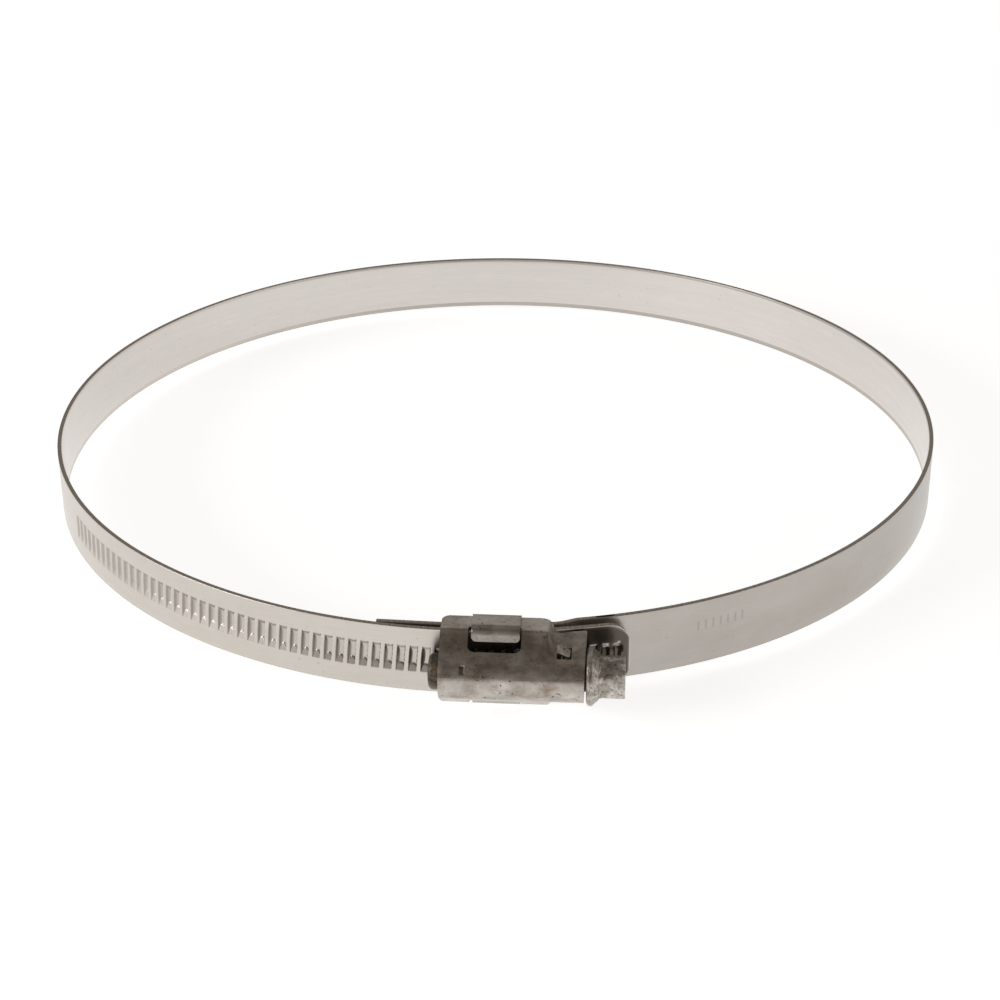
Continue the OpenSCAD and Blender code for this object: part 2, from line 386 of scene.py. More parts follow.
def build_strip(band, edge):
    pieces = []
    fixed = sweep_strip("strip_fixed_end", fixed_end_stations(), darkening=gap_painted_shade)
    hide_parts("band_fixed_end")
    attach(fixed, "clamp_body")
    pieces.append(fixed)

    hold = (FIRST_GROOVE + 8.5) * TOOTH_STEP
    thread = toothed_strip("strip_threaded_end", hold, TAIL_ANGLE, half_at=tip_half_width)
    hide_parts("band_threaded_end")
    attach(thread, "threaded_end")
    pieces.append(thread)

    joint_piece = toothed_strip("strip_21", (FIRST_GROOVE - 0.5) * TOOTH_STEP, hold)
    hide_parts(f"band_link_{LINKS}")
    bend_between(joint_piece, 360 + hold, link_middle(LINKS))
    pieces.append(joint_piece)

    for k in range(LINKS - 1, 0, -1):
        a, b = link_middle(k + 1), link_middle(k)
        piece = sweep_strip(f"strip_{k:02d}", ring_stations(b, a, 0.35))
        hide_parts(f"band_link_{k:02d}")
        bend_between(piece, a, b)
        pieces.append(piece)

    start = sweep_strip("strip_00", ring_stations(CHAIN_START, link_middle(1), 0.35))
    # Where it lies inside the fixed end's last stretch it is a little thinner, so no faces coincide.
    thin = 0.012
    for v in start.data.vertices:
        flat = Vector((v.co.x, v.co.y, 0))
        if math.degrees(math.atan2(flat.x, -flat.y)) < FIXED_END_ANGLE + 0.1:
            v.co += flat.normalized() * (-thin if flat.length > (SEAT_R + 0.4) * MM else thin) * MM
    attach(start, "link_01")
    pieces.append(start)
    for p in pieces:
        p.data.materials.append(band)
        p.data.materials.append(edge)
        mark_edges(p)


def bend_between(obj, angle_a, angle_b):
    tuple(ring_frame(angle_a)[0] * MM)
    tuple(ring_frame(angle_b)[0] * MM)
    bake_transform(obj)


def mark_edges(obj):
    """Gives the sheared edges of a strip piece the second material."""
    for poly in obj.data.polygons:
        if abs(poly.normal.z) > 0.6 and abs(poly.center.z) > 0.002:
            poly.material_index = 1


# ---------------------------------------------------------------- bent sheets


class Profile:
    """A path of lines and arcs in the (u, z) plane, starting at the crown and turning towards the ring."""

    def __init__(self, u, z, heading, parts):
        self.parts = []
        h = heading
        for kind, length, turn in parts:
            self.parts.append((u, z, h, length, turn))
            u, z, h = self._walk(u, z, h, length, turn, length)
        self.length = sum(p[3] for p in self.parts)

    @staticmethod
    def _walk(u, z, h, length, turn, t):
        if abs(turn) < 1e-9:
            return u - math.sin(h) * t, z + math.cos(h) * t, h
        r = length / turn
        h1 = h + t / r
        return u + r * (math.cos(h1) - math.cos(h)), z + r * (math.sin(h1) - math.sin(h)), h1

    def at(self, t):
        """Point and outward normal at length t, mirrored for negative t."""
        side = -1 if t < 0 else 1
        t = abs(t)
        for u, z, h, length, turn in self.parts:
            if t <= length or (u, z, h, length, turn) == self.parts[-1]:
                break
            t -= length
        u, z, h = self._walk(u, z, h, length, turn, t)
        return u, side * z, math.cos(h), side * math.sin(h)


def arc(r, degrees):
    return ("arc", r * math.radians(abs(degrees)), math.radians(degrees))


def line(length):
    return ("line", length, 0.0)


def rounded_outline(points, n=6):
    """Corners (x, y, radius) joined by straight lines, with arcs at the corners."""
    out = []
    count = len(points)
    for i, (x, y, r) in enumerate(points):
        b = Vector((x, y))
        a = Vector(points[i - 1][:2])
        c = Vector(points[(i + 1) % count][:2])
        if r <= 0:
            out.append(b)
            continue
        d1, d2 = (a - b).normalized(), (c - b).normalized()
        half = math.acos(max(-1, min(1, d1.dot(d2)))) / 2
        centre = b + (d1 + d2).normalized() * r / math.sin(half)
        p1, p2 = b + d1 * r / math.tan(half) - centre, b + d2 * r / math.tan(half) - centre
        for j in range(n + 1):
            v = (p1 * (n - j) / n + p2 * j / n).normalized() * r
            out.append(centre + v)
    return out


def subdivide(points, step):
    out = []
    for i, a in enumerate(points):
        b = points[(i + 1) % len(points)]
        n = max(1, math.ceil((b - a).length / step))
        out += [a + (b - a) * j / n for j in range(n)]
    return out


def inside(p, loop):
    hit = False
    for i, a in enumerate(loop):
        b = loop[i - 1]
        if (a.y > p.y) != (b.y > p.y) and p.x < (b.x - a.x) * (p.y - a.y) / (b.y - a.y) + a.x:
            hit = not hit
    return hit


def near(p, loop, gap):
    for i, a in enumerate(loop):
        b = loop[i - 1]
        d = b - a
        t = min(max((p - a).dot(d) / max(d.length_squared, 1e-9), 0), 1)
        if (a + d * t - p).length < gap:
            return True
    return False


def bent_sheet(name, outline, holes, surface, thickness, step, dent=None, extra=(), darkening=None):
    """A flat blank with holes, bent onto surface(x, t) -> (point, outward normal), with a thickness."""
    loops = [subdivide(outline, step)] + [subdivide(h, step) for h in holes]
    points, edges = [], []
    for loop in loops:
        base = len(points)
        points += loop
        edges += [(base + i, base + (i + 1) % len(loop)) for i in range(len(loop))]
    xs, ys = [p.x for p in outline], [p.y for p in outline]
    nx = round((max(xs) - min(xs)) / step)
    ny = round((max(ys) - min(ys)) / step)
    for i in range(1, nx):
        for j in range(1, ny):
            p = Vector((min(xs) + (max(xs) - min(xs)) * i / nx, min(ys) + (max(ys) - min(ys)) * j / ny))
            if inside(p, loops[0]) and not any(inside(p, h) for h in loops[1:]):
                if not any(near(p, loop, step * 0.55) for loop in loops):
                    points.append(p)
    points += extra
    flat, _, tris, *_ = delaunay_2d_cdt(points, edges, [], 0, 1e-6)
    kept = []
    for tri in tris:
        c = (flat[tri[0]] + flat[tri[1]] + flat[tri[2]]) / 3
        if inside(c, loops[0]) and not any(inside(c, h) for h in loops[1:]):
            kept.append(tuple(tri))
    return solid_sheet(name, flat, kept, surface, thickness, dent, darkening)


def solid_sheet(name, flat, tris, surface, thickness, dent, darkening):
    outer, inner = [], []
    for p in flat:
        point, normal = surface(p.x, p.y)
        lift = dent(p.x, p.y) if dent else 0.0
        outer.append(point + normal * lift)
        inner.append(point - normal * thickness + normal * lift * 0.6)
    n = len(flat)
    faces = []
    border = {}
    for a, b, c in tris:
        faces.append((a, b, c))
        faces.append((c + n, b + n, a + n))
        for e in ((a, b), (b, c), (c, a)):
            border[e] = border.get(e, 0) + 1
    sheet_faces = len(faces)
    for a, b in border:
        if (b, a) not in border:
            faces.append((b, a, a + n, b + n))
    uvs = [(p.x * MM, p.y * MM) for p in flat] * 2
    darkening_amount = [darkening(p.x, p.y) if darkening else 0.0 for p in flat]
    obj = make_object(name, outer + inner, faces, uvs, sharp_deg=50, darkening_amount=darkening_amount * 2)
    for poly in obj.data.polygons:
        inside_face = poly.index < sheet_faces and poly.index % 2 == 1
        poly.material_index = 1 if poly.index >= sheet_faces else 2 if inside_face else 0
    repair_normals(obj)
    return obj


def mirror_down(obj):
    """Turns a piece made for the upper side into the lower side's."""
    obj.data.transform(Matrix.Scale(-1, 4, Vector((0, 0, 1))))
    obj.data.flip_normals()


def dress_sheet(obj, steels):
    """Gives a sheet its three materials: outer face, cut rim and inner face."""
    for steel in steels:
        obj.data.materials.append(steel)
    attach(obj, "clamp_body")


def repair_normals(obj):
    bm = bmesh.new()
    bm.from_mesh(obj.data)
    loose = [v for v in bm.verts if not v.link_faces]
    bmesh.ops.delete(bm, geom=loose, context="VERTS")
    bmesh.ops.recalc_face_normals(bm, faces=bm.faces)
    bm.to_mesh(obj.data)
    bm.free()


# ---------------------------------------------------------------- housing


def tangent_turn(corner_u, half_w):
    """Angle at which a line from the corner touches the roof's circle, and that line's length."""
    du, dist = AXIS_U - corner_u, math.hypot(AXIS_U - corner_u, half_w)
    angle = math.pi - math.atan2(half_w, du) - math.acos(ROOF_R / dist)
    return math.degrees(angle), math.sqrt(dist**2 - ROOF_R**2)


def wall_profile(corner_u, half_w, fillet, wall):
    turn, reach = tangent_turn(corner_u, half_w)
    rest = 90 - turn
    cut = fillet * math.tan(math.radians(rest / 2))
    parts = [arc(ROOF_R, turn), line(reach - cut), arc(fillet, rest), line(wall)]
    return Profile(AXIS_U + ROOF_R, 0.0, 0.0, parts)


BODY = wall_profile(89.6, HALF_W, 2.0, 4.8)
NECK = wall_profile(87.0, 5.6, 0.6, 3.0)


def length_to_u(profile, u):
    """Length along a profile at which it comes down to u."""
    lo, hi = 0.0, profile.length
    for _ in range(40):
        mid = (lo + hi) / 2
        if profile.at(mid)[0] > u:
            lo = mid
        else:
            hi = mid
    return lo


def housing_surface(x, t):
    w = smoothstep((x - 13.7) / 1.9)
    a, b = BODY.at(t), NECK.at(t)
    u, z, nu, nz = (p * (1 - w) + q * w for p, q in zip(a, b))
    return Vector((x, -u, z)), Vector((0, -nu, nz)).normalized()


def build_housing(steels):
    low = length_to_u(BODY, 85.3)
    leg0, leg1 = length_to_u(NECK, 87.35), length_to_u(NECK, 86.35)
    half = [
        (NECK_X1, leg1, 0.35),
        (BODY_X1 + 0.9, leg0, 0),
        (BODY_X1, leg0 + 0.25, 0.5),
        (BODY_X1, low, 2.4),
        (BODY_X0, low, 1.4),
    ]
    # The neck's end is cut slightly askew.
    other = [(min(x, NECK_X1 - 0.35), -t, r) for x, t, r in reversed(half)]
    outline = rounded_outline(half + other)
    t0, t1 = length_to_u(BODY, 92.65), length_to_u(BODY, 88.6)
    window = [(0.9, t0, 1.1), (9.6, t0, 1.1), (9.6, t1, 0.6), (0.9, t1, 0.6)]
    s0, s1 = length_to_u(NECK, LUG_U1), length_to_u(NECK, LUG_U0)
    lug = [(LUG_X0, s0, 0.25), (LUG_X1, s0, 0.25), (LUG_X1, s1, 0.25), (LUG_X0, s1, 0.25)]
    holes = []
    for hole in (window, lug):
        holes.append(rounded_outline(hole))
        holes.append(rounded_outline([(x, -t, r) for x, t, r in reversed(hole)]))
    mark_t = math.radians(36) * ROOF_R

    def dent(x, t):
        """The small mark pressed into the roof."""
        gap = min(0.42 - abs(x - 0.3), 0.8 - abs(t - mark_t))
        return -0.26 * smoothstep(gap / 0.16)

    def darkening(x, t):
        """Darker in the pressed mark, and grease along the roof and round the upper window."""
        mark = smoothstep((0.5 - abs(x - 0.15)) / 0.2) * smoothstep((0.9 - abs(t - mark_t)) / 0.3)
        crease = 0.3 * smoothstep((0.5 - abs(t / ROOF_R - math.radians(21))) * 4 - 1.2)
        mouth = 0.35 * smoothstep((1.3 - max(abs(x - 5.2) - 4.4, abs(t - t1 + 2) - 1.6, 0)) / 1.3)
        return max(0.8 * mark, crease, mouth if t > 0 else 0)

    fine = [Vector((-0.3 + 0.1 * i, mark_t - 1 + 0.1 * j)) for i in range(13) for j in range(21)]
    shell = bent_sheet("housing_shell", outline, holes, housing_surface, SHEET_T, 0.3, dent, fine, darkening)
    bevel(shell, 0.14, material=1)
    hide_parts("housing")
    dress_sheet(shell, steels)
    for side in (1, -1):
        build_lug(steels, side)


def build_lug(steels, side):
    """The lanced tongue that holds the screw's neck, bent inward from the edge of its opening."""
    top = length_to_u(NECK, LUG_U0 + 1.75)

    def surface(x, t):
        sink = 0.9 * smoothstep((x - LUG_X0) / 2.0) + 0.25 * smoothstep((top + 0.6 - t) / 1.0)
        u, z, nu, nz = NECK.at(t)
        normal = Vector((-0.4, -nu, nz)).normalized()
        return Vector((x, -u + nu * sink, z - nz * sink)), normal

    low = length_to_u(NECK, LUG_U0) + 0.1
    x0, x1 = LUG_X0 - 0.1, LUG_X1 - 0.3
    corners = [(x0, top, 0.1), (x1, top, 0.3), (x1, low, 0.3), (x0, low, 0.1)]
    name = "lug_upper" if side > 0 else "lug_lower"
    lug = bent_sheet(name, rounded_outline(corners), [], surface, 0.5, 0.2)
    if side < 0:
        mirror_down(lug)
    bevel(lug, 0.08)
    # The whole tongue takes the lighter rim material: a painted highlight.
    dress_sheet(lug, [steels[1]] * 3)


# ---------------------------------------------------------------- saddle


def build_saddle(steels):
    def plate_surface(x, z):
        n = Vector((x, -math.sqrt(SEAT_R**2 - x * x), 0)).normalized()
        return n * (SEAT_R + STRIP_T) + Vector((0, 0, z)), n

    w = HALF_W - SHEET_T - 0.05
    corners = [(BODY_X0 + 0.3, -w, 0.8), (13.9, -w, 0.8), (13.9, w, 0.8), (BODY_X0 + 0.3, w, 0.8)]
    plate = bent_sheet("saddle_plate", rounded_outline(corners), [], plate_surface, STRIP_T, 0.6)
    bevel(plate, 0.12)
    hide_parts("saddle")
    dress_sheet(plate, steels)
    for side in (1, -1):
        build_tab(steels, side)


# How a tab goes on from the side wall: rolled over wide on one side, pressed tight on the other.
OPEN_TAB = line(2.6), arc(1.6, 76), line(1.2)
TIGHT_TAB = line(1.8), arc(2.2, 52), line(1.2), arc(3.0, 12), line(0.5)


def build_tab(steels, side):
    """One tab: out under the side wall, up outside it, and over the shoulder into the window."""
    out = HALF_W + 0.02 + TAB_T
    turns = [
        line(out - 5.75 - 1.1),
        arc(1.1, 90),
        *(OPEN_TAB if side > 0 else TIGHT_TAB),
    ]
    flip = [(kind, length, -turn) for kind, length, turn in turns]
    path = Profile(85.0, 5.75, 0.0, flip)

    def surface(x, t):
        u, z, nu, nz = path.at(t)
        return Vector((x, -u, z)), Vector((0, nu, -nz))

    end = path.length
    outline = [(1.35, 0.0, 0), (9.35, 0.0, 0), (9.3, end, 0.75), (1.45, end, 0.75)]
    name = "saddle_tab_upper" if side > 0 else "saddle_tab_lower"
    tab = bent_sheet(name, rounded_outline(outline), [], surface, TAB_T, 0.28)
    if side < 0:
        mirror_down(tab)
    bevel(tab, 0.13, material=1)
    dress_sheet(tab, steels)


# ---------------------------------------------------------------- screw


def lathe(name, rings, around=96):
    """A closed turned solid along X at the screw's axis. rings are (x, radius or function of the angle)."""
    verts, faces = [], []
    for x, r in rings:
        for i in range(around):
            a = 2 * math.pi * i / around
            rr = r(a) if callable(r) else r
            verts.append((x, -AXIS_U + rr * math.cos(a), rr * math.sin(a)))
    for k in range(len(rings) - 1):
        for i in range(around):
            j = (i + 1) % around
            a, b = k * around + i, k * around + j
            faces.append((a, b, b + around, a + around))
    last = (len(rings) - 1) * around
    faces.append(tuple(range(around - 1, -1, -1)))
    faces.append(tuple(range(last, last + around)))
    obj = make_object(name, verts, faces, sharp_deg=35)
    repair_normals(obj)
    return obj


def thread_radius(x, a):
    """Radius of the right-hand thread: a ridge faces the strip wherever a groove of the strip lies."""
    t = (x / TOOTH_PITCH - a / (2 * math.pi)) % 1.0
    off = min(t, 1 - t) * TOOTH_PITCH
    crest, root = 0.27, 0.56
    w = smoothstep((root - off) / (root - crest))
    return CORE_R + (WORM_R - CORE_R) * w


def build_worm(steel):
    x0, x1 = BODY_X0 - NOSE_OUT, NECK_X1 + 0.4
    thread_x0, thread_x1 = -3.2, 14.2
    rings = []
    steps = 180
    for i in range(steps + 1):
        x = thread_x0 + (thread_x1 - thread_x0) * i / steps
        fade = smoothstep((x - thread_x0) / 0.8) * smoothstep((thread_x1 - x) / 0.8)
        rings.append((x, lambda a, x=x, f=fade: SHAFT_R + (thread_radius(x, a) - SHAFT_R) * f))
    nose = [
        (x0, NOSE_R - 1.1),
        (x0 + 0.1, NOSE_R - 0.6),
        (x0 + 0.3, NOSE_R - 0.25),
        (x0 + 0.7, NOSE_R),
        (thread_x0 - 0.3, NOSE_R),
        (thread_x0 - 0.2, SHAFT_R),
    ]
    rings = nose + rings + [(15.0, SHAFT_R), (x1, SHAFT_R)]
    worm = lathe("screw_thread", rings, 72)
    worm.data.materials.append(steel)
    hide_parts("screw")
    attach(worm, "screw")


FLANGE_R = 4.85
HEAD_X1 = 26.5
SLOT_W = 1.1
SLOT_D = 1.8
HEX_AF = 6.8
HEX_TURN = math.radians(33)


def worn(x, a, depth=0.11):
    """Wear of the head at a place on it: how far the metal stands proud or is rubbed off."""
    patch = noise.noise(Vector((x * 0.9, 2.6 * math.cos(a), 2.6 * math.sin(a))))
    nick = noise.noise(Vector((x * 3.1, 8 * math.cos(a), 8 * math.sin(a))))
    return depth * (patch + 0.5 * nick)


def hex_radius(a):
    """Radius of the hexagon at an angle, with slightly rounded corners."""
    sector = math.pi / 3
    d = (a - HEX_TURN + sector / 2) % sector - sector / 2
    face = HEX_AF / 2 / math.cos(abs(abs(d) - sector / 2))
    return soft_min(face, HEX_AF / math.sqrt(3) - 0.08, 0.12)


def build_head(steel):
    x0 = NECK_X1 + 0.15
    rings = [
        (x0, FLANGE_R - 0.55),
        (x0 + 0.08, FLANGE_R - 0.3),
        (x0 + 0.3, FLANGE_R - 0.06),
        (x0 + 0.6, FLANGE_R),
        (x0 + 0.9, FLANGE_R - 0.03),
        (x0 + 1.15, FLANGE_R - 0.2),
        (x0 + 1.35, FLANGE_R - 0.5),
        (x0 + 1.8, 4.0),
        (x0 + 2.0, 3.72),
        (x0 + 2.15, lambda a: 0.4 * 3.7 + 0.6 * hex_radius(a)),
        (x0 + 2.4, hex_radius),
    ]
    steps = 18
    for i in range(1, steps + 1):
        x = x0 + 2.4 + (HEAD_X1 - 0.45 - x0 - 2.4) * i / steps
        rings.append((x, lambda a, x=x: soft_min(hex_radius(a), 3.62 + worn(x, a), 0.1)))
    for drop in (0.3, 0.15, 0.0):
        limit = HEX_AF / 2 + 0.28 - 0.5 * (0.45 - drop)
        rings.append((HEAD_X1 - drop, lambda a, m=limit: end_radius(a, m)))
    head = lathe("screw_head", rings, 144)
    cut_slot(head)
    bevel(head, 0.07, 2, 45)
    head.data.materials.append(steel)
    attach(head, "screw")


def end_radius(a, limit):
    """Radius of the hexagon's chamfered and worn end."""
    return soft_min(hex_radius(a), limit + worn(HEAD_X1, a, 0.2), 0.12)


def cut_slot(head):
    """The screwdriver slot across the hexagon's end."""
    slot_box = bpy.data.meshes.new("slot_cutter")
    bm = bmesh.new()
    bmesh.ops.create_cube(bm, size=1)
    bm.to_mesh(slot_box)
    bm.free()
    cutter = bpy.data.objects.new("slot_cutter", slot_box)
    bpy.context.scene.collection.objects.link(cutter)
    size = Matrix.Diagonal((2 * SLOT_D * MM, 14 * MM, SLOT_W * MM, 1))
    place = Matrix.Translation(Vector((HEAD_X1, -AXIS_U, 0)) * MM)
    cutter.data.transform(place @ Matrix.Rotation(math.radians(-59), 4, "X") @ size)
    m = head.modifiers.new("slot", "BOOLEAN")
    m.operation = "DIFFERENCE"
    m.solver = "EXACT"
    m.object = cutter
    apply_modifiers(head)
    bpy.data.objects.remove(cutter)


def apply_modifiers(obj):
    bpy.context.view_layer.update()
    dg = bpy.context.evaluated_depsgraph_get()
    mesh = bpy.data.meshes.new_from_object(obj.evaluated_get(dg))
    obj.modifiers.clear()
    obj.data = mesh


# ---------------------------------------------------------------- materials


class Nodes:
    """A small helper for writing a node material in a few lines."""

    def __init__(self, name):
        self.mat = bpy.data.materials.new(name)
        self.mat.use_nodes = True
        self.tree = self.mat.node_tree
        self.bsdf = self.tree.nodes["Principled BSDF"]

    def add(self, kind, **values):
        node = self.tree.nodes.new(kind)
        for key, value in values.items():
            if hasattr(node, key):
                setattr(node, key, value)
            else:
                node.inputs[key.replace("_", " ")].default_value = value
        return node

    def link(self, a, b):
        self.tree.links.new(a, b)

    def coords(self, kind, scale):
        source = self.add("ShaderNodeTexCoord")
        mapping = self.add("ShaderNodeMapping", Scale=scale)
        self.link(source.outputs[kind], mapping.inputs["Vector"])
        return mapping.outputs["Vector"]

    def noise(self, vector, scale, detail=4.0, roughness=0.55, low=0.35, high=0.65):
        tex = self.add("ShaderNodeTexNoise", Scale=scale, Detail=detail, Roughness=roughness)
        self.link(vector, tex.inputs["Vector"])
        ramp = self.add("ShaderNodeMapRange")
        ramp.inputs["From Min"].default_value = low
        ramp.inputs["From Max"].default_value = high
        self.link(tex.outputs["Fac"], ramp.inputs["Value"])
        return ramp.outputs["Result"]

    def mix_colour(self, fac, a, b):
        node = self.add("ShaderNodeMix", data_type="RGBA")
        self.put(fac, node.inputs[0])
        self.put(a, node.inputs[6])
        self.put(b, node.inputs[7])
        return node.outputs[2]

    def maths(self, operation, a, b):
        node = self.add("ShaderNodeMath", operation=operation)
        self.put(a, node.inputs[0])
        self.put(b, node.inputs[1])
        return node.outputs[0]

    def put(self, value, socket):
        if isinstance(value, bpy.types.NodeSocket):
            self.link(value, socket)
        elif isinstance(value, (tuple, list)):
            socket.default_value = (*value, 1.0)
        else:
            socket.default_value = value

    def bump(self, height, strength, distance):
        node = self.add("ShaderNodeBump", Strength=strength, Distance=distance)
        self.link(height, node.inputs["Height"])
        self.link(node.outputs["Normal"], self.bsdf.inputs["Normal"])


def uv_parts(n):
    """The strip's length and its height as two sockets; the height is shifted on the inner face."""
    source = n.add("ShaderNodeTexCoord")
    split = n.add("ShaderNodeSeparateXYZ")
    n.link(source.outputs["UV"], split.inputs["Vector"])
    return split.outputs["X"], split.outputs["Y"]


def between(n, value, low, high, soft):
    """1 where value lies between low and high, with soft edges."""
    up = n.add("ShaderNodeMapRange")
    down = n.add("ShaderNodeMapRange")
    for node, a, b in ((up, low - soft, low), (down, high + soft, high)):
        node.inputs["From Min"].default_value = a
        node.inputs["From Max"].default_value = b
        n.link(value, node.inputs["Value"])
    return n.maths("MULTIPLY", up.outputs["Result"], down.outputs["Result"])


def stamp_mask(n, length, height):
    """A short row of plain dashes where such strips carry their stamp."""
    start, end = (strip_length(a) * MM for a in (26.5, 33.0))
    soft = 0.0002
    along, across = between(n, length, start, end, soft), between(n, height, 0.0006, 0.0022, soft)
    row = n.maths("MULTIPLY", along, across)
    step = n.maths("FRACT", n.maths("MULTIPLY", length, 700.0), 0.0)
    dash = between(n, step, 0.2, 0.42, 0.06)
    return n.maths("MULTIPLY", row, dash)


def band_material():
    n = Nodes("band_steel")
    n.bsdf.inputs["Metallic"].default_value = 1.0
    length, height = uv_parts(n)
    grain = n.noise(n.coords("UV", (240.0, 9000.0, 1.0)), 1.0, 3.0, 0.6)
    streak = n.noise(n.coords("UV", (28.0, 700.0, 1.0)), 1.0, 3.0, 0.6, 0.3, 0.7)
    cloud = n.noise(n.coords("UV", (75.0, 140.0, 1.0)), 1.0, 4.0, 0.6, 0.3, 0.75)
    spots = n.noise(n.coords("UV", (1100.0, 1100.0, 1.0)), 1.0, 2.0, 0.5, 0.68, 0.76)
    # Painted light: from 230 degrees round to the threaded end the outer face gets a lighter base colour,
    # standing in for the light on the ring's left side.
    threaded = between(n, length, strip_length(230) * MM, 1.0, 0.05)
    inner = between(n, height, 0.02, 1.0, 0.001)
    outer = n.mix_colour(threaded, (0.43, 0.40, 0.365), (0.60, 0.56, 0.51))
    # Painted light: the inner face gets a lighter base colour still, standing in for the lit floor it
    # reflects.
    base = n.mix_colour(inner, outer, (0.70, 0.66, 0.625))
    base = n.mix_colour(n.maths("MULTIPLY", cloud, 0.22), base, (0.78, 0.77, 0.76))
    base = n.mix_colour(n.maths("MULTIPLY", grain, 0.13), base, (0.34, 0.31, 0.28))
    base = n.mix_colour(n.maths("MULTIPLY", streak, 0.10), base, (0.36, 0.32, 0.29))
    base = n.mix_colour(n.maths("MULTIPLY", spots, 0.30), base, (0.20, 0.16, 0.12))
    stamp = stamp_mask(n, length, height)
    base = n.mix_colour(n.maths("MULTIPLY", stamp, 0.24), base, (0.15, 0.13, 0.12))
    # Painted shade from the darkening attribute: on the grooves' flanks and ends, on the end under the head
    # and on the fixed end in the gap.
    darkening_amount = n.add("ShaderNodeAttribute", attribute_name="darkening_amount")
    base = n.mix_colour(darkening_amount.outputs["Fac"], base, (0.055, 0.040, 0.028))
    n.put(base, n.bsdf.inputs["Base Color"])
    n.put(n.maths("ADD", n.maths("MULTIPLY", cloud, 0.10), 0.27), n.bsdf.inputs["Roughness"])
    relief = n.maths("SUBTRACT", n.maths("MULTIPLY", grain, 0.3), stamp)
    n.bump(relief, 0.2, 0.00004)
    return n.mat


def edge_material():
    n = Nodes("band_edge")
    n.bsdf.inputs["Metallic"].default_value = 1.0
    n.bsdf.inputs["Roughness"].default_value = 0.5
    shear = n.noise(n.coords("UV", (2500.0, 500.0, 1.0)), 1.0, 3.0)
    n.put(n.mix_colour(shear, (0.27, 0.23, 0.19), (0.50, 0.45, 0.40)), n.bsdf.inputs["Base Color"])
    n.bump(shear, 0.3, 0.00004)
    return n.mat


def sheet_material(name, dark, light, stain, rough):
    """Old formed sheet: rolled streaks along X, clouds, rust tint and pits."""
    n = Nodes(name)
    n.bsdf.inputs["Metallic"].default_value = 1.0
    here = n.coords("Object", (1.0, 1.0, 1.0))
    cloud = n.noise(here, 260.0, 5.0, 0.62, 0.38, 0.66)
    streak = n.noise(n.coords("Object", (70.0, 2600.0, 2600.0)), 1.0, 3.0, 0.6, 0.35, 0.7)
    rust = n.noise(n.coords("Object", (260.0, 520.0, 520.0)), 1.0, 5.0, 0.65, 0.52, 0.68)
    pits = n.noise(here, 1500.0, 2.0, 0.5, 0.69, 0.72)
    specks = n.noise(here, 4200.0, 2.0, 0.5, 0.62, 0.70)
    base = n.mix_colour(cloud, dark, light)
    base = n.mix_colour(n.maths("MULTIPLY", streak, 0.30), base, dark)
    base = n.mix_colour(n.maths("MULTIPLY", rust, stain), base, (0.20, 0.11, 0.065))
    base = n.mix_colour(n.maths("MULTIPLY", specks, 0.45), base, (0.11, 0.085, 0.065))
    base = n.mix_colour(n.maths("MULTIPLY", pits, 0.85), base, (0.035, 0.028, 0.02))
    # Darkening from the mesh's attribute, patchy with the clouds; on the housing it covers the pressed
    # mark, the roof band and the upper window.
    darkening_amount = n.add("ShaderNodeAttribute", attribute_name="darkening_amount")
    uneven = n.maths("ADD", n.maths("MULTIPLY", cloud, 0.6), 0.5)
    patchy = n.maths("MULTIPLY", darkening_amount.outputs["Fac"], uneven)
    base = n.mix_colour(patchy, base, (0.075, 0.05, 0.034))
    n.put(base, n.bsdf.inputs["Base Color"])
    n.put(n.maths("ADD", n.maths("MULTIPLY", cloud, 0.12), rough), n.bsdf.inputs["Roughness"])
    wear = n.maths("SUBTRACT", n.maths("MULTIPLY", streak, 0.3), n.maths("ADD", pits, specks))
    n.bump(wear, 0.35, 0.00005)
    return n.mat


def housing_materials():
    outer = sheet_material("housing_steel", (0.34, 0.305, 0.265), (0.60, 0.57, 0.535), 0.55, 0.26)
    # The cut rims and bevels are lighter than the faces: a painted highlight along the sheet's edges.
    rim = sheet_material("housing_rim_painted_highlight", (0.60, 0.57, 0.52), (0.80, 0.78, 0.75), 0.1, 0.38)
    # The inside is near black: painted shade inside the housing, seen through its windows.
    inner = sheet_material("housing_inside_painted_shade", (0.045, 0.04, 0.035), (0.09, 0.08, 0.07), 0.3, 0.5)
    return outer, rim, inner


def saddle_materials():
    outer = sheet_material("saddle_steel", (0.40, 0.37, 0.33), (0.60, 0.57, 0.53), 0.35, 0.3)
    # The saddle's cut rims and bevels are lighter too: a painted highlight along its edges.
    rim = sheet_material("saddle_rim_painted_highlight", (0.50, 0.47, 0.42), (0.70, 0.67, 0.63), 0.2, 0.4)
    inner = sheet_material("saddle_inside", (0.30, 0.28, 0.25), (0.50, 0.48, 0.45), 0.2, 0.35)
    return outer, rim, inner


def screw_material(name, dark, light, pit_share):
    """Plated and worn: blotches of bare and dull metal, with pits."""
    n = Nodes(name)
    n.bsdf.inputs["Metallic"].default_value = 1.0
    here = n.coords("Object", (1.0, 1.0, 1.0))
    cloud = n.noise(here, 620.0, 5.0, 0.68, 0.40, 0.60)
    pits = n.noise(here, 2100.0, 4.0, 0.62, 0.52, 0.66)
    rust = n.noise(here, 380.0, 4.0, 0.6, 0.56, 0.70)
    base = n.mix_colour(cloud, dark, light)
    base = n.mix_colour(n.maths("MULTIPLY", rust, 0.45), base, (0.24, 0.15, 0.08))
    base = n.mix_colour(n.maths("MULTIPLY", pits, pit_share), base, (0.08, 0.06, 0.045))
    n.put(base, n.bsdf.inputs["Base Color"])
    n.put(n.maths("ADD", n.maths("MULTIPLY", cloud, 0.15), 0.33), n.bsdf.inputs["Roughness"])
    n.bump(n.maths("SUBTRACT", cloud, pits), 0.5, 0.00009)
    return n.mat


# ---------------------------------------------------------------- stage


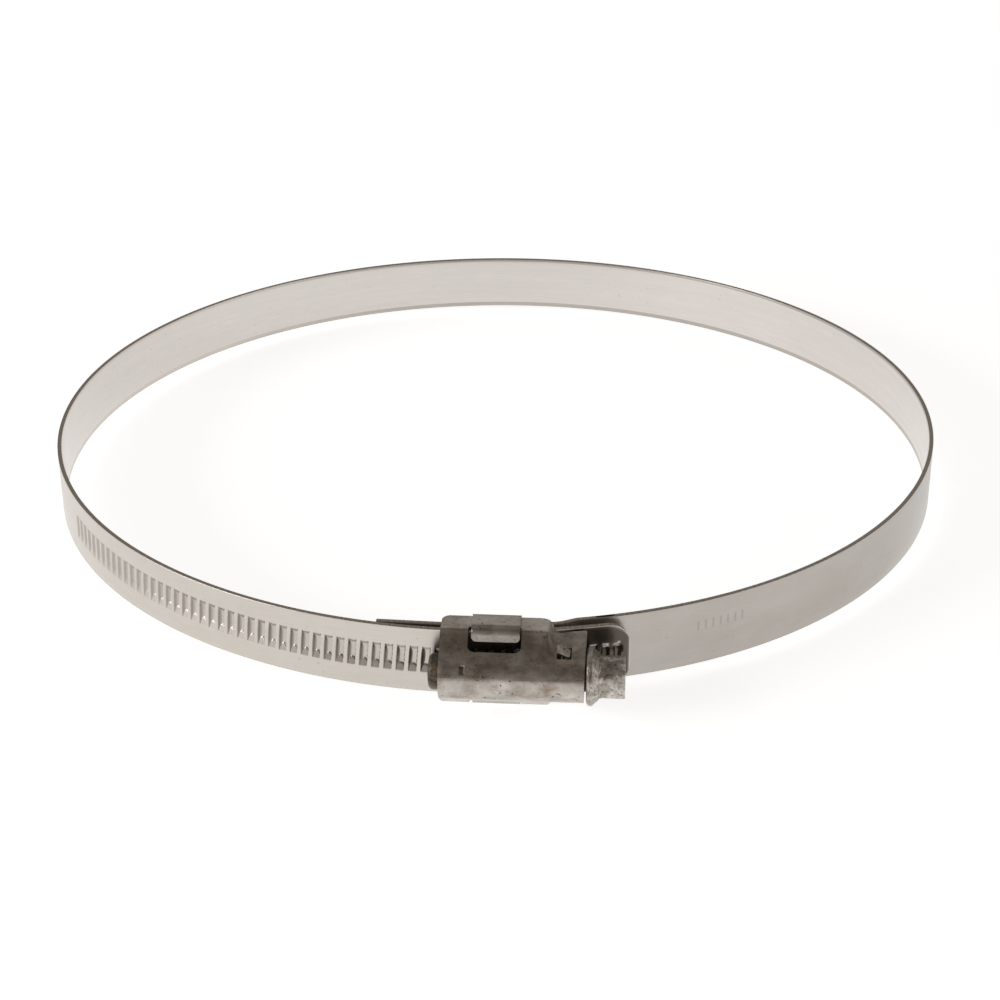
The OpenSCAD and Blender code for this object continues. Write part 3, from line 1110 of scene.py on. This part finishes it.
def area_light(name, place, size, level):
    """A soft rectangle of light aimed at the origin; level is how bright it looks."""
    data = bpy.data.lights.new(name, "AREA")
    data.shape = "RECTANGLE"
    data.size, data.size_y = size
    data.energy = level * math.pi * size[0] * size[1]
    obj = bpy.data.objects.new(name, data)
    bpy.context.scene.collection.objects.link(obj)
    obj.location = place
    obj.rotation_euler = (-Vector(place)).to_track_quat("-Z", "Y").to_euler()


def build_stage():
    lo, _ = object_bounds()
    bpy.ops.mesh.primitive_plane_add(size=6, location=(0, 0, lo.z - 0.00005))
    floor = bpy.context.object
    floor.name = "floor"
    n = Nodes("floor")
    n.bsdf.inputs["Base Color"].default_value = (0.9, 0.9, 0.9, 1)
    n.bsdf.inputs["Roughness"].default_value = 0.9
    n.bsdf.inputs["Specular IOR Level"].default_value = 0.1
    n.bsdf.inputs["Emission Color"].default_value = (0.985, 0.99, 1, 1)
    n.bsdf.inputs["Emission Strength"].default_value = 0.74
    floor.data.materials.append(n.mat)
    build_world()
    area_light("back", (0.0, 1.0, 0.85), (1.6, 0.9), 0.34)
    area_light("left", (-0.95, -0.45, 0.30), (0.7, 0.45), 4.5)
    area_light("right", (0.95, -0.30, 0.34), (0.5, 0.4), 1.8)


# Brightness of the room by the height of the direction: horizon, front wall, ceiling.
ROOM = ((0.0, 0.09), (0.08, 0.11), (0.3, 0.29), (0.55, 0.20), (0.8, 0.12), (0.93, 0.15), (1.0, 0.3))


def build_world():
    world = bpy.data.worlds.new("studio")
    bpy.context.scene.world = world
    world.use_nodes = True
    nodes, links = world.node_tree.nodes, world.node_tree.links
    where = nodes.new("ShaderNodeTexCoord")
    split = nodes.new("ShaderNodeSeparateXYZ")
    ramp = nodes.new("ShaderNodeValToRGB")
    links.new(where.outputs["Generated"], split.inputs["Vector"])
    links.new(split.outputs["Z"], ramp.inputs["Fac"])
    links.new(ramp.outputs["Color"], nodes["Background"].inputs["Color"])
    elements = ramp.color_ramp.elements
    while len(elements) < len(ROOM):
        elements.new(0.5)
    for element, (height, level) in zip(elements, ROOM):
        element.position = height
        element.color = (level, level * 0.9, level * 0.78, 1)


def build_camera():
    """The photograph's viewing angle, with a small shift for its framing."""
    focal, distance = 72.0, 407.7
    e, a, roll = math.radians(25.2), math.radians(4.2), math.radians(-0.34)
    back = Vector((math.sin(a) * math.cos(e), -math.cos(a) * math.cos(e), math.sin(e)))
    data = bpy.data.cameras.new("camera")
    cam = bpy.data.objects.new("camera", data)
    bpy.context.scene.collection.objects.link(cam)
    data.sensor_width = 36.0
    data.lens = focal
    data.shift_x = -0.002
    data.shift_y = -0.067
    data.clip_start = 0.01
    cam.location = back * distance * MM
    turn = (-back).to_track_quat("-Z", "Y").to_matrix().to_4x4()
    cam.rotation_euler = (turn @ Matrix.Rotation(roll, 4, "Z")).to_euler()
    bpy.context.scene.camera = cam


def build_view():
    scene = bpy.context.scene
    scene.view_settings.view_transform = "Standard"
    scene.view_settings.look = "None"
    scene.view_settings.exposure = 0.0


build_strip(band_material(), edge_material())
build_housing(housing_materials())
build_saddle(saddle_materials())
# The thread is near black: painted shade on the worm inside the housing and on its nose.
build_worm(screw_material("screw_thread", (0.045, 0.036, 0.027), (0.17, 0.15, 0.12), 0.6))
build_head(screw_material("screw_steel", (0.33, 0.30, 0.26), (0.64, 0.61, 0.57), 0.75))
build_stage()
build_camera()
build_view()
